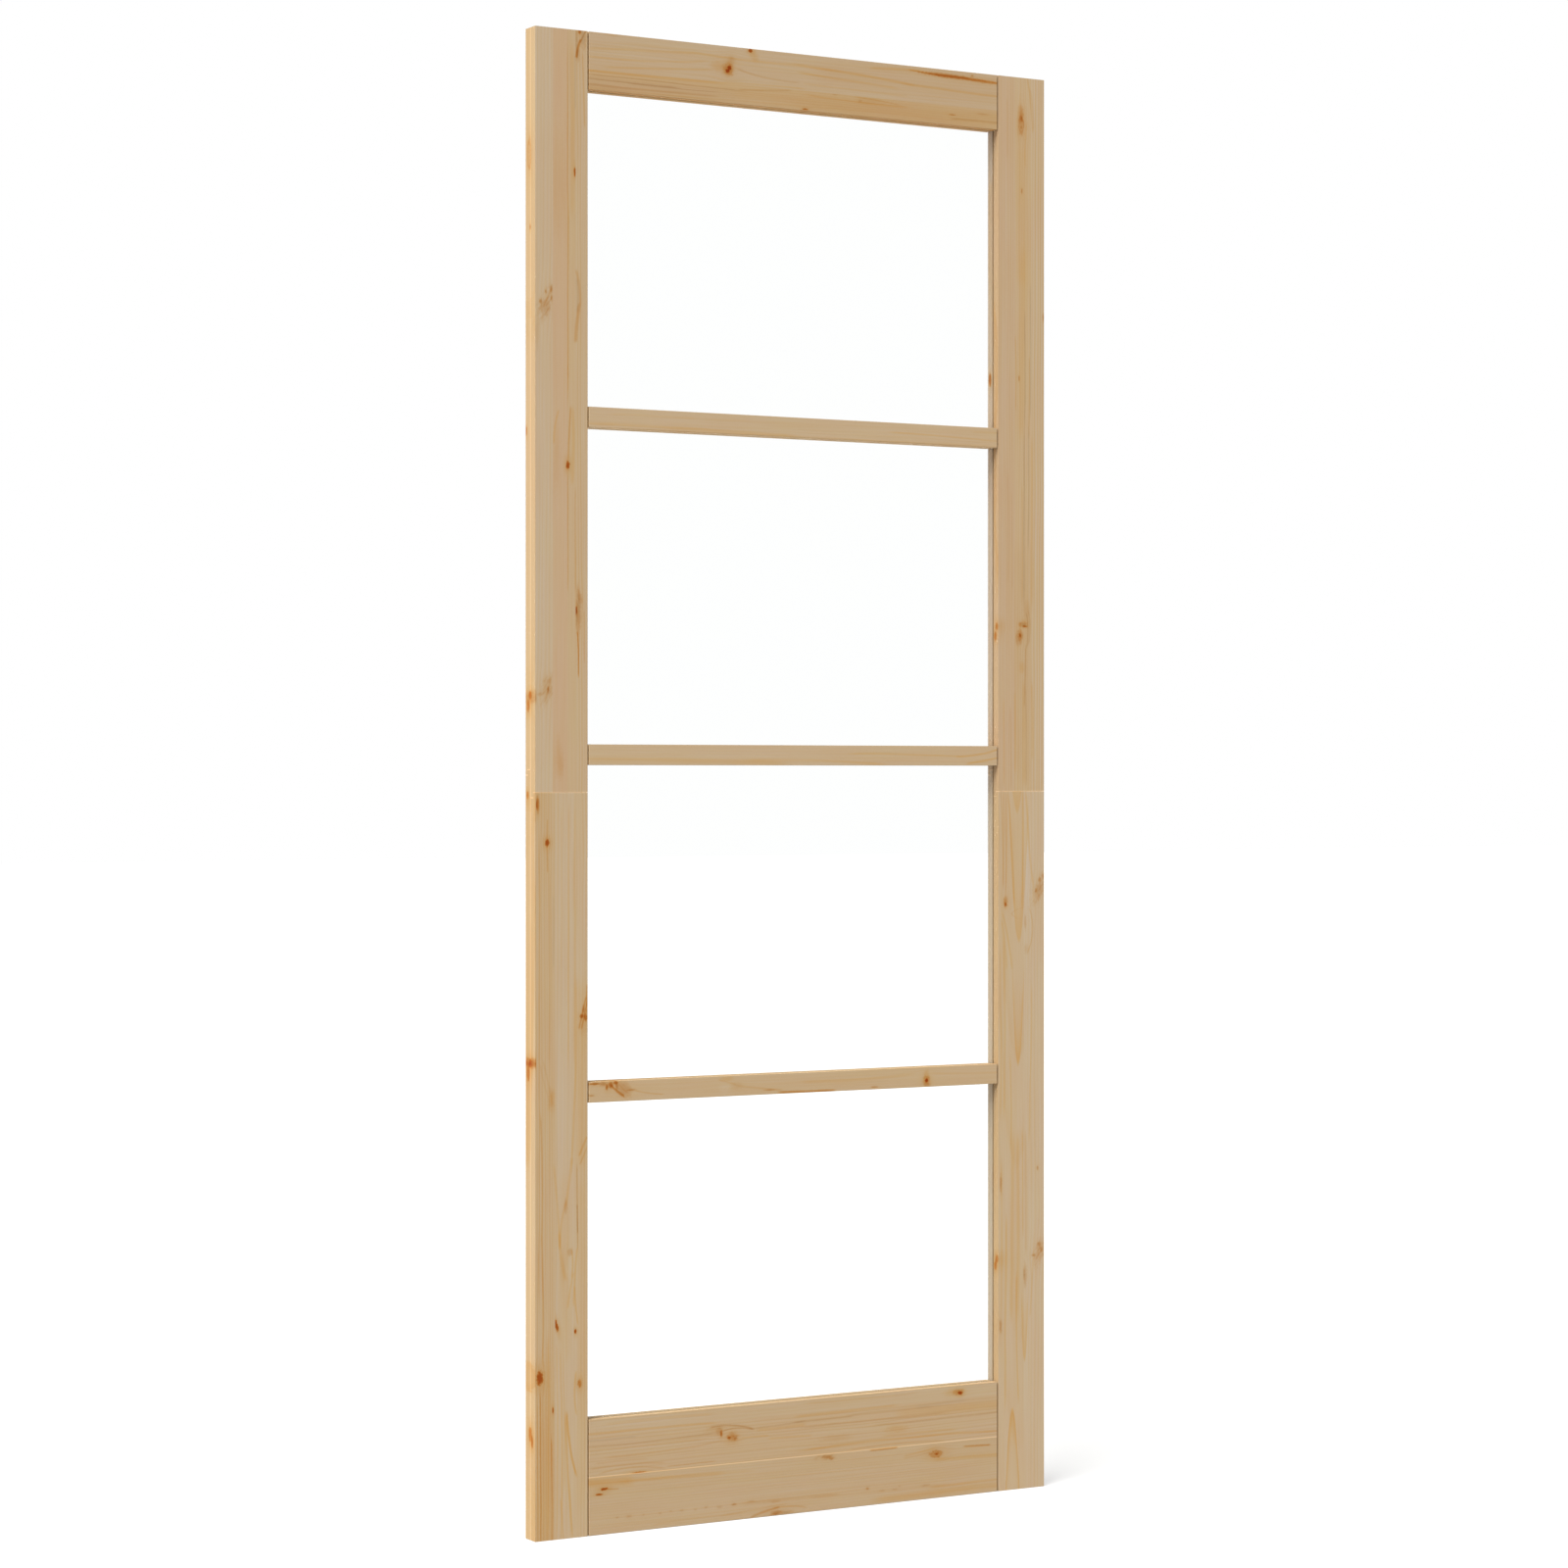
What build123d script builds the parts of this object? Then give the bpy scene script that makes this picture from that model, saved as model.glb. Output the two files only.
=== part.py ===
"""Glazed interior door leaf in solid pine, standing upright.

Two stiles, each spliced from two lengths at mid height, carry a top rail, a bottom rail of two
boards and three slim glazing bars. One groove runs round every opening: the tongues of the rails
and bars plug into it, and four panes of toughened glass sit in it between them.

Frame: X across the leaf from the hinge edge, Y through it from the front face to the back face,
Z up from the bottom edge. The origin is on the hinge edge, at its foot, half way through the leaf.
"""

import os

from build123d import *

# Leaf, in millimetres
DOOR_WIDTH = 850
DOOR_HEIGHT = 2100
DOOR_THICKNESS = 30

# Boards
STILE_WIDTH = 82
TOP_RAIL_HEIGHT = 81
BOTTOM_BOARD_HEIGHT = 81
BAR_HEIGHT = 29
ARRIS_RADIUS = 0.6

# Glass and the groove that holds it
GLASS_THICKNESS = 4
GLASS_FACE_CLEARANCE = 0.5
GLASS_SIDE_CLEARANCE = 2
GLASS_TOP_CLEARANCE = 2
GLASS_EDGE_CHAMFER = 0.5
GROOVE_DEPTH = 9

# Tongue joints between the boards
TONGUE_SIDE_CLEARANCE = 0.1
TONGUE_TIP_CLEARANCE = 0.5
SHOULDER_GAP = 1.8
SHOULDER_CHAMFER = 0.5

# Hooked lap that splices the two lengths of a stile
SPLICE_LAP = 24
SPLICE_HOOK = 7.5
SPLICE_LIP = 6.3
SPLICE_CLEARANCE = 0.1
SPLICE_CHAMFER = 0.3

# Pieces that repeat, from the bottom up
BOTTOM_BOARD_NAMES = ["bottom_rail_lower_board", "bottom_rail_upper_board"]
BAR_NAMES = ["lower_glazing_bar", "middle_glazing_bar", "upper_glazing_bar"]
PANE_NAMES = ["bottom_glass_pane", "lower_middle_glass_pane", "upper_middle_glass_pane", "top_glass_pane"]

# Sizes that follow from the ones above
groove_width = GLASS_THICKNESS + 2 * GLASS_FACE_CLEARANCE
tongue_thickness = groove_width - 2 * TONGUE_SIDE_CLEARANCE
tongue_length = GROOVE_DEPTH - TONGUE_TIP_CLEARANCE
opening_width = DOOR_WIDTH - 2 * STILE_WIDTH
bottom_rail_height = len(BOTTOM_BOARD_NAMES) * BOTTOM_BOARD_HEIGHT
solid_height = bottom_rail_height + len(BAR_NAMES) * BAR_HEIGHT + TOP_RAIL_HEIGHT
opening_height = (DOOR_HEIGHT - solid_height) / len(PANE_NAMES)
splice_z = DOOR_HEIGHT / 2
splice_reach = SPLICE_LAP / 2 + SPLICE_HOOK

os.makedirs("parts", exist_ok=True)


def save(piece, name):
    """Labels a finished piece and writes it as its own file."""
    piece.part.label = name
    export_step(piece.part, f"parts/{name}.step")


def splice_line(side):
    """The splice seen from the edge of the door, as points from the front face to the back face.

    side is +1 for the upper length's own surface and -1 for the lower length's, each half the
    clearance away from the line that they share.
    """
    half_gap = side * SPLICE_CLEARANCE / 2
    hook_y = DOOR_THICKNESS / 2 - SPLICE_LIP
    low, high = splice_z - SPLICE_LAP / 2 + half_gap, splice_z + SPLICE_LAP / 2 + half_gap
    return [
        (-DOOR_THICKNESS, low),
        (-hook_y + half_gap, low),
        (-hook_y + half_gap, low - SPLICE_HOOK),
        (-half_gap, low - SPLICE_HOOK),
        (-half_gap, high + SPLICE_HOOK),
        (hook_y + half_gap, high + SPLICE_HOOK),
        (hook_y + half_gap, high),
        (DOOR_THICKNESS, high),
    ]


def on_splice_face(edge):
    """True for the edges of the splice that show on the front and back faces."""
    middle = edge.center()
    return abs(abs(middle.Y) - DOOR_THICKNESS / 2) < ARRIS_RADIUS and abs(middle.Z - splice_z) < splice_reach


def make_stile_length(name, centre_x, groove_x, side):
    """One length of a stile: side +1 is the upper one, with the lap at its foot, and -1 the lower."""
    ends = [0, splice_z + splice_reach] if side < 0 else [splice_z - splice_reach, DOOR_HEIGHT]
    waste_z = splice_z - side * DOOR_THICKNESS * 2
    line = splice_line(side)
    with BuildPart() as stile:
        with BuildSketch(Plane.XY.offset(ends[0])):
            with Locations((centre_x, 0)):
                RectangleRounded(STILE_WIDTH, DOOR_THICKNESS, ARRIS_RADIUS)
            with Locations((groove_x, 0)):
                Rectangle(GROOVE_DEPTH, groove_width, mode=Mode.SUBTRACT)
        extrude(amount=ends[1] - ends[0])
        with BuildSketch(Plane.YZ.offset(centre_x)):
            with BuildLine():
                Polyline(*line, (DOOR_THICKNESS, waste_z), (-DOOR_THICKNESS, waste_z), close=True)
            make_face()
        extrude(amount=STILE_WIDTH, both=True, mode=Mode.SUBTRACT)
        chamfer(stile.edges().filter_by(Axis.X).filter_by(on_splice_face), SPLICE_CHAMFER)
    save(stile, name)


def make_cross_piece(
    name,
    foot_z,
    height,
    lower_groove=False,
    upper_groove=False,
    lower_seam=False,
    upper_tongue=False,
):
    """A rail or bar between the stiles, with a tongue at each end and grooves along its edges.

    Its long edges are eased, apart from those that meet another board in a close seam.
    """
    shoulder_x = STILE_WIDTH + SHOULDER_GAP
    shoulder_length = DOOR_WIDTH - 2 * shoulder_x
    tongue_foot = foot_z + (GROOVE_DEPTH if lower_groove else 0)
    tongue_head = foot_z + height - (GROOVE_DEPTH if upper_groove else 0)
    with BuildPart() as piece:
        with BuildSketch(Plane.YZ.offset(shoulder_x)) as section:
            with Locations((0, foot_z + height / 2)):
                Rectangle(DOOR_THICKNESS, height)
            low_corners, high_corners = section.vertices().group_by(Axis.Y)
            eased = ([] if lower_seam else low_corners) + ([] if upper_tongue else high_corners)
            fillet(eased, ARRIS_RADIUS)
            if lower_groove:
                with Locations((0, foot_z + GROOVE_DEPTH / 2)):
                    Rectangle(groove_width, GROOVE_DEPTH, mode=Mode.SUBTRACT)
            if upper_groove:
                with Locations((0, foot_z + height - GROOVE_DEPTH / 2)):
                    Rectangle(groove_width, GROOVE_DEPTH, mode=Mode.SUBTRACT)
        extrude(amount=shoulder_length)
        chamfer(piece.faces().filter_by(Axis.X).edges(), SHOULDER_CHAMFER)
        # The tongues run on from inside the board, so that the eased shoulders don't notch them.
        with BuildSketch(Plane.YZ.offset(DOOR_WIDTH / 2)):
            with Locations((0, (tongue_foot + tongue_head) / 2)):
                Rectangle(tongue_thickness, tongue_head - tongue_foot)
        extrude(amount=opening_width / 2 + tongue_length, both=True)
        if upper_tongue:
            with BuildSketch(Plane.YZ.offset(shoulder_x)):
                with Locations((0, foot_z + height)):
                    Rectangle(tongue_thickness, 2 * tongue_length)
            extrude(amount=shoulder_length)
    save(piece, name)


def make_pane(name, sill_z):
    """A pane standing in the groove of the piece below it, with its sharp edges ground off."""
    pane_width = opening_width + 2 * (GROOVE_DEPTH - GLASS_SIDE_CLEARANCE)
    pane_height = opening_height + 2 * GROOVE_DEPTH - GLASS_TOP_CLEARANCE
    with BuildPart() as pane:
        with BuildSketch(Plane.XZ.offset(-GLASS_THICKNESS / 2)):
            with Locations((DOOR_WIDTH / 2, sill_z - GROOVE_DEPTH + pane_height / 2)):
                Rectangle(pane_width, pane_height)
        extrude(amount=GLASS_THICKNESS)
        chamfer(pane.edges(), GLASS_EDGE_CHAMFER)
    save(pane, name)


# Stiles: the hinge stile on the left, the lock stile on the right
left_groove_x = STILE_WIDTH - GROOVE_DEPTH / 2
right_groove_x = DOOR_WIDTH - left_groove_x
for stile_name, stile_x, stile_groove_x in (
    ("left_stile", STILE_WIDTH / 2, left_groove_x),
    ("right_stile", DOOR_WIDTH - STILE_WIDTH / 2, right_groove_x),
):
    make_stile_length(f"{stile_name}_lower", stile_x, stile_groove_x, side=-1)
    make_stile_length(f"{stile_name}_upper", stile_x, stile_groove_x, side=+1)

# Bottom rail: boards tongued into each other at a close seam, the top one grooved for the glass
for level, board_name in enumerate(BOTTOM_BOARD_NAMES):
    on_board = level > 0
    highest = board_name == BOTTOM_BOARD_NAMES[-1]
    make_cross_piece(
        board_name,
        level * BOTTOM_BOARD_HEIGHT,
        BOTTOM_BOARD_HEIGHT,
        lower_groove=on_board,
        upper_groove=highest,
        lower_seam=on_board,
        upper_tongue=not highest,
    )

# Panes and the bars between them, up to the top rail
for level, pane_name in enumerate(PANE_NAMES):
    sill_z = bottom_rail_height + level * (opening_height + BAR_HEIGHT)
    make_pane(pane_name, sill_z)
    if level < len(BAR_NAMES):
        make_cross_piece(BAR_NAMES[level], sill_z + opening_height, BAR_HEIGHT, True, True)
make_cross_piece("top_rail", DOOR_HEIGHT - TOP_RAIL_HEIGHT, TOP_RAIL_HEIGHT, lower_groove=True)
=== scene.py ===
"""Looks of the glazed interior door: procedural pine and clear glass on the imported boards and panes.

Pine is pale wood darkened by resin, by golden resin and by brown. Each board adds up how much of
these a point holds, from the tone and growth rings of its glued strips, from knots that bend those
rings, and from single veins and flames. One law of absorption then turns the amounts into a colour.
The figure fills the board, so it runs on over faces, edges and ends. Places on a board are in
millimetres: across it from its low edge, through it from its middle and along it. Everything else
is in metres.
"""

import math
from typing import NamedTuple

import bpy
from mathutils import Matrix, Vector


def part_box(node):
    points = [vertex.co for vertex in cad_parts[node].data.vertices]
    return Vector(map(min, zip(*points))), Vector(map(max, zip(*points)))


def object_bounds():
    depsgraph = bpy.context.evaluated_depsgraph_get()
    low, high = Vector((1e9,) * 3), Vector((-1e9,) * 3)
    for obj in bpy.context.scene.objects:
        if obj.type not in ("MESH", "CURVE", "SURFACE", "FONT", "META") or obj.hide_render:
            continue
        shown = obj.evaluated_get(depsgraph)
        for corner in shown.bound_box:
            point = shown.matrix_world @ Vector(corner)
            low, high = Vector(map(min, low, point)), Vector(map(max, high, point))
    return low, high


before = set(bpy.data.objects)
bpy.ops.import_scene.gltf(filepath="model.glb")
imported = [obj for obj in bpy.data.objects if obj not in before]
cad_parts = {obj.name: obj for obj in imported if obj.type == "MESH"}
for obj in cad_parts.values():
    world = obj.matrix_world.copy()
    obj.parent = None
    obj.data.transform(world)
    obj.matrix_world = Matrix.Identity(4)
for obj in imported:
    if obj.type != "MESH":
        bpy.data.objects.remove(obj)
cad_low, cad_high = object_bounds()
scene = bpy.context.scene


def srgb(red, green, blue):
    """A colour given as 0 to 255 on screen, as the linear colour that shaders take."""
    linear = []
    for level in (red, green, blue):
        share = level / 255
        linear.append(share / 12.92 if share <= 0.04045 else ((share + 0.055) / 1.055) ** 2.4)
    return (*linear, 1.0)


# Shader maths written as sums
def maths_method(kind, swapped=False):
    """A method that makes a maths node of a Value and another value, which comes first if swapped."""
    def method(self, other):
        return self.graph.math(kind, other, self) if swapped else self.graph.math(kind, self, other)
    return method


class Value:
    """A socket of a node tree that can be added to, multiplied and so on, each making its node."""

    def __init__(self, graph, socket):
        self.graph = graph
        self.socket = socket

    __add__ = maths_method("ADD")
    __radd__ = maths_method("ADD", swapped=True)
    __sub__ = maths_method("SUBTRACT")
    __rsub__ = maths_method("SUBTRACT", swapped=True)
    __mul__ = maths_method("MULTIPLY")
    __rmul__ = maths_method("MULTIPLY", swapped=True)
    __truediv__ = maths_method("DIVIDE")


class Graph:
    """Adds nodes to a shader tree. Inputs are plain numbers, colours or Values."""

    def __init__(self, tree):
        self.tree = tree

    def put(self, socket, value):
        """Links a Value to an input, or sets the input to a constant."""
        if isinstance(value, Value):
            self.tree.links.new(value.socket, socket)
        else:
            socket.default_value = value

    def node(self, kind, settings=(), **inputs):
        """A new node with its settings and inputs, whose spaces are written as underscores."""
        made = self.tree.nodes.new(kind)
        for name, value in dict(settings).items():
            setattr(made, name, value)
        for name, value in inputs.items():
            self.put(made.inputs[name.replace("_", " ")], value)
        return made

    def out(self, node, name):
        return Value(self, node.outputs[name])

    def math(self, operation, *values):
        made = self.node("ShaderNodeMath", {"operation": operation})
        for socket, value in zip(made.inputs, values):
            self.put(socket, value)
        return self.out(made, "Value")

    def squares(self, *values):
        """The sum of the squares of some values."""
        total = 0.0
        for value in values:
            total = value * value + total
        return total

    def ramp(self, value, start, end, low=0.0, high=1.0):
        """Goes smoothly from low to high while value goes from start to end."""
        made = self.node("ShaderNodeMapRange", {"interpolation_type": "SMOOTHSTEP"}, Value=value)
        for name, limit in (("From Min", start), ("From Max", end), ("To Min", low), ("To Max", high)):
            self.put(made.inputs[name], limit)
        return self.out(made, "Result")

    def vector(self, x, y, z):
        return self.out(self.node("ShaderNodeCombineXYZ", X=x, Y=y, Z=z), "Vector")

    def noise(self, vector, detail=2.0, roughness=0.5):
        return self.node("ShaderNodeTexNoise", Vector=vector, Scale=1.0, Detail=detail, Roughness=roughness)

    def parts(self, node):
        """The three channels of a noise node's colour, each from about -0.5 to 0.5."""
        split = self.node("ShaderNodeSeparateColor", Color=self.out(node, "Color"))
        return [self.out(split, name) - 0.5 for name in ("Red", "Green", "Blue")]

    def finish(self, socket, kind="ShaderNodeOutputMaterial"):
        """Sends a shader to the tree's output."""
        self.tree.links.new(socket, self.tree.nodes.new(kind).inputs["Surface"])


def make_group(name, inputs, outputs):
    """An empty node group: its tree and graph, its inputs by name and the node that takes its outputs."""
    tree = bpy.data.node_groups.new(name, "ShaderNodeTree")
    for label in inputs:
        tree.interface.new_socket(label, in_out="INPUT", socket_type="NodeSocketFloat")
    for label in outputs:
        tree.interface.new_socket(label, in_out="OUTPUT", socket_type="NodeSocketFloat")
    graph = Graph(tree)
    entry = tree.nodes.new("NodeGroupInput")
    leave = tree.nodes.new("NodeGroupOutput")
    return tree, graph, {label: graph.out(entry, label) for label in inputs}, leave


def make_knot_group():
    """One knot: an ellipsoid in the board that darkens the wood and pushes its grain aside."""
    inputs = [
        "across", "through", "along", "wobble across", "wobble along", "ridge", "mask",
        "at across", "at through", "at along", "half across", "half through", "half along", "lean",
        "core", "rim", "halo", "crack", "soft", "ragged", "bend", "soot",
    ]
    tree, graph, given, leave = make_group("pine knot", inputs, ["body", "halo", "soot", "push"])
    fray_along = given["wobble along"] * given["ragged"] * given["half along"]
    fray_across = given["wobble across"] * given["ragged"] * given["half across"]
    off_along = given["along"] - given["at along"] + fray_along
    off_across = given["across"] - given["at across"] - given["lean"] * off_along
    off_through = given["through"] - given["at through"]
    reach_squared = graph.squares(
        (off_across + fray_across) / given["half across"],
        off_through / given["half through"],
        off_along / given["half along"],
    )
    reach = graph.math("SQRT", reach_squared)
    inside = graph.ramp(reach, 1.0 + given["soft"], 1.0 - given["soft"])
    rim = graph.ramp(graph.math("ABSOLUTE", reach - 1.0), 0.4, 0.0)
    glow = graph.math("EXPONENT", reach_squared * -0.22)
    body = inside * (given["core"] + given["crack"] * given["ridge"]) + rim * given["rim"]
    mask = given["mask"]
    graph.put(leave.inputs["body"], body * mask)
    graph.put(leave.inputs["halo"], glow * given["halo"] * mask)
    graph.put(leave.inputs["soot"], graph.ramp(reach, 1.0, 0.3) * given["soot"] * mask)
    graph.put(leave.inputs["push"], glow * off_across * given["bend"] * mask)
    return tree


def make_vein_group():
    """One vein: a thin line along a parabola, fading out at both ends."""
    inputs = ["across", "along", "vary", "start", "length", "base", "slope", "curve", "width"]
    tree, graph, given, leave = make_group("pine vein", inputs, ["line"])
    share = (given["along"] - given["start"]) / given["length"]
    line_at = (share * given["curve"] + given["slope"]) * share + given["base"]
    beside = graph.math("ABSOLUTE", given["across"] - line_at)
    fade = graph.ramp(share, 0.0, 0.12) * graph.ramp(share, 1.0, 0.88)
    line = graph.ramp(beside, given["width"], given["width"] * 0.2)
    graph.put(leave.inputs["line"], line * fade * given["vary"])
    return tree


def make_flame_group():
    """One flame: the pointed arch of a growth ring that the board cuts at a glancing angle."""
    inputs = ["across", "along", "centre", "nose", "spread", "depth", "reach", "way"]
    tree, graph, given, leave = make_group("pine flame", inputs, ["line"])
    off_centre = given["across"] - given["centre"]
    past_nose = (given["along"] - given["nose"]) * given["way"]
    rise = past_nose - off_centre * off_centre * given["spread"]
    fill = graph.math("EXPONENT", graph.math("MAXIMUM", rise, 0.0) / given["depth"] * -1.0)
    ending = graph.ramp(past_nose, given["reach"], given["reach"] * 0.6)
    graph.put(leave.inputs["line"], graph.ramp(rise, -6.0, 6.0) * fill * ending)
    return tree


def make_grain_group():
    """The growth rings of one strip, with its fibres and its slow change of tone."""
    inputs = [
        "across", "through", "along", "seed", "pith across", "pith through",
        "tilt across", "tilt through", "spacing", "waver",
    ]
    tree, graph, given, leave = make_group("pine grain", inputs, ["line", "fibre", "tone"])
    across, through, along, seed = (given[label] for label in inputs[:4])
    waver = given["waver"]
    place = graph.vector(across * 0.016 + seed, through * 0.016, along * 0.0035)
    bow_across, bow_through, drift = graph.parts(graph.noise(place, detail=2.5, roughness=0.55))
    from_across = across - given["pith across"] - given["tilt across"] * along + bow_across * waver
    from_through = through - given["pith through"] - given["tilt through"] * along + bow_through * waver
    even_count = graph.math("SQRT", graph.squares(from_across, from_through)) / given["spacing"]
    uneven = graph.noise(graph.vector(even_count * 0.37, seed, 0.0), detail=1.0)
    count = even_count + (graph.out(uneven, "Fac") - 0.5) * 1.1
    ring = graph.math("FLOOR", count)
    share = count - ring
    dice = graph.vector(ring, seed, 0.0)
    chance = graph.node("ShaderNodeTexWhiteNoise", {"noise_dimensions": "2D"}, Vector=dice)
    line = graph.ramp(share, 0.4, 0.86) * graph.ramp(share, 1.0, 0.9)
    graph.put(leave.inputs["line"], line * (graph.out(chance, "Value") * 0.85 + 0.15))
    threads = graph.vector(across * 0.55 + seed, through * 0.55, along * 0.008)
    fibre = graph.noise(threads, detail=4.0, roughness=0.65)
    graph.put(leave.inputs["fibre"], graph.out(fibre, "Fac") - 0.5)
    broad = graph.vector(across * 0.06 + seed, through * 0.05, along * 0.005)
    tone = graph.noise(broad, detail=3.0, roughness=0.55)
    graph.put(leave.inputs["tone"], graph.out(tone, "Fac") - 0.5 + drift * 0.3)
    return tree


knot_group = make_knot_group()
vein_group = make_vein_group()
flame_group = make_flame_group()
grain_group = make_grain_group()

# Pine with no resin, and how fast its red, green and blue fade as resin, gold or brown is added
PALE_PINE = srgb(200, 178, 149)
RESIN_FADES = (0.09, 0.40, 1.0)
GOLD_FADES = (0.01, 0.32, 1.0)
BROWN_FADES = (0.16, 0.49, 1.0)


class Strip(NamedTuple):
    """A glued strip: where it ends across the board, its resin and the look of its growth rings."""

    end: float
    tone: float
    rings: float
    spacing: float
    pith: tuple
    tilt: tuple = (0.0, 0.0)
    waver: float = 6.0
    shade: float = 0.0
    grey: float = 0.0
    blush: float = 0.0


class Knot(NamedTuple):
    """A knot or fleck: its kind, place and half sizes, and its depth where it shows on an edge only.

    It ends where its strip ends, unless it isn't cut.
    """

    kind: tuple
    across: float
    along: float
    half_across: float
    half_along: float
    through: float = 0.0
    half_through: float = 60.0
    lean: float = 0.0
    cut: bool = True


class Vein(NamedTuple):
    """A single line through three points, each given as across and along, and what it holds."""

    start: tuple
    middle: tuple
    end: tuple
    width: float
    gold: float = 0.0
    brown: float = 0.0
    grey: float = 0.0


class Flame(NamedTuple):
    """A pointed arch of gold: its middle, nose, spread, depth of fill and reach.

    Its nose points down, or up where way is -1.
    """

    centre: float
    nose: float
    spread: float
    depth: float
    reach: float
    gold: float
    way: float = 1.0


class Board:
    """A board: its strips and marks, and the resin and shade that one of its edges adds.

    That resin and shade are partly the edge's own tone and partly painted light and shade, which
    make the edge lighter, darker or warmer for how the lamps fall on it. The edge has one pair of
    values in front of the glass and another behind it, where its lip is seen through the glass and
    is painted greyer. Side is -1 for the low edge and 1 for the high one.
    """

    def __init__(self, *marks, front_edge=(0.0, 0.0), back_edge=(0.0, 0.0), side=-1):
        self.strips, self.knots, self.veins, self.flames = (
            [mark for mark in marks if isinstance(mark, kind)] for kind in (Strip, Knot, Vein, Flame)
        )
        self.front_edge = front_edge
        self.back_edge = back_edge
        self.side = side


class Kind(NamedTuple):
    """A kind of knot: what its body, rim, halo and cracks add, its edge and how it bends the grain.

    Soot is the shade in its middle. Gold is the share of the body that is gold and not brown, and
    below 0 the body is pinkish.
    """

    core: float
    rim: float = 0.0
    halo: float = 0.0
    crack: float = 0.0
    soft: float = 0.6
    ragged: float = 1.2
    bend: float = 0.0
    soot: float = 0.0
    gold: float = 0.0

    def __call__(self, *place, **more):
        """A knot of this kind."""
        return Knot(self, *place, **more)


DARK = Kind(2.9, 0.2, 0.6, soft=0.45, bend=0.7)
PIN = Kind(2.3, 0.2, 0.4, soft=0.5, ragged=0.8, bend=0.6)
CHAR = Kind(1.7, 0.0, 0.25, soot=0.02)
ORANGE = Kind(1.2, 0.2, 0.45, 0.4, soft=0.55, bend=0.7, gold=0.1)
OCHRE = Kind(0.6, 0.1, 0.15, 0.5, soft=0.75, bend=0.5, gold=0.1)
EYE = Kind(0.15, 0.45, 0.25, 0.4, soft=0.5, ragged=0.9, bend=0.8)
FEATHER = Kind(0.06, 0.0, 0.03, 0.42, soft=0.8, bend=0.3, gold=-0.35)
FLECK = Kind(0.7, 0.0, 0.1, soot=0.05, gold=-0.2)
DOT = Kind(0.25, 0.0, 0.05, soot=0.02, gold=-0.3)
RUST = Kind(0.34, 0.0, 0.04, 0.1, soft=0.5, bend=0.2, gold=-0.4)
BLUSH = Kind(0.2, 0.0, 0.04, soft=0.8, bend=0.2, gold=-0.2)
ASH = Kind(0.24, 0.1, 0.05, 0.2, bend=0.2, soot=0.12, gold=-0.2)
PALE = Kind(-0.1, 0.0, -0.03, soft=0.5, ragged=0.6, bend=0.2, gold=0.5)
STAIN = Kind(0.28, 0.0, 0.04, soft=0.7, gold=0.8)
TINGE = Kind(0.17, 0.0, 0.02, soft=0.8, gold=0.2)

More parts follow.
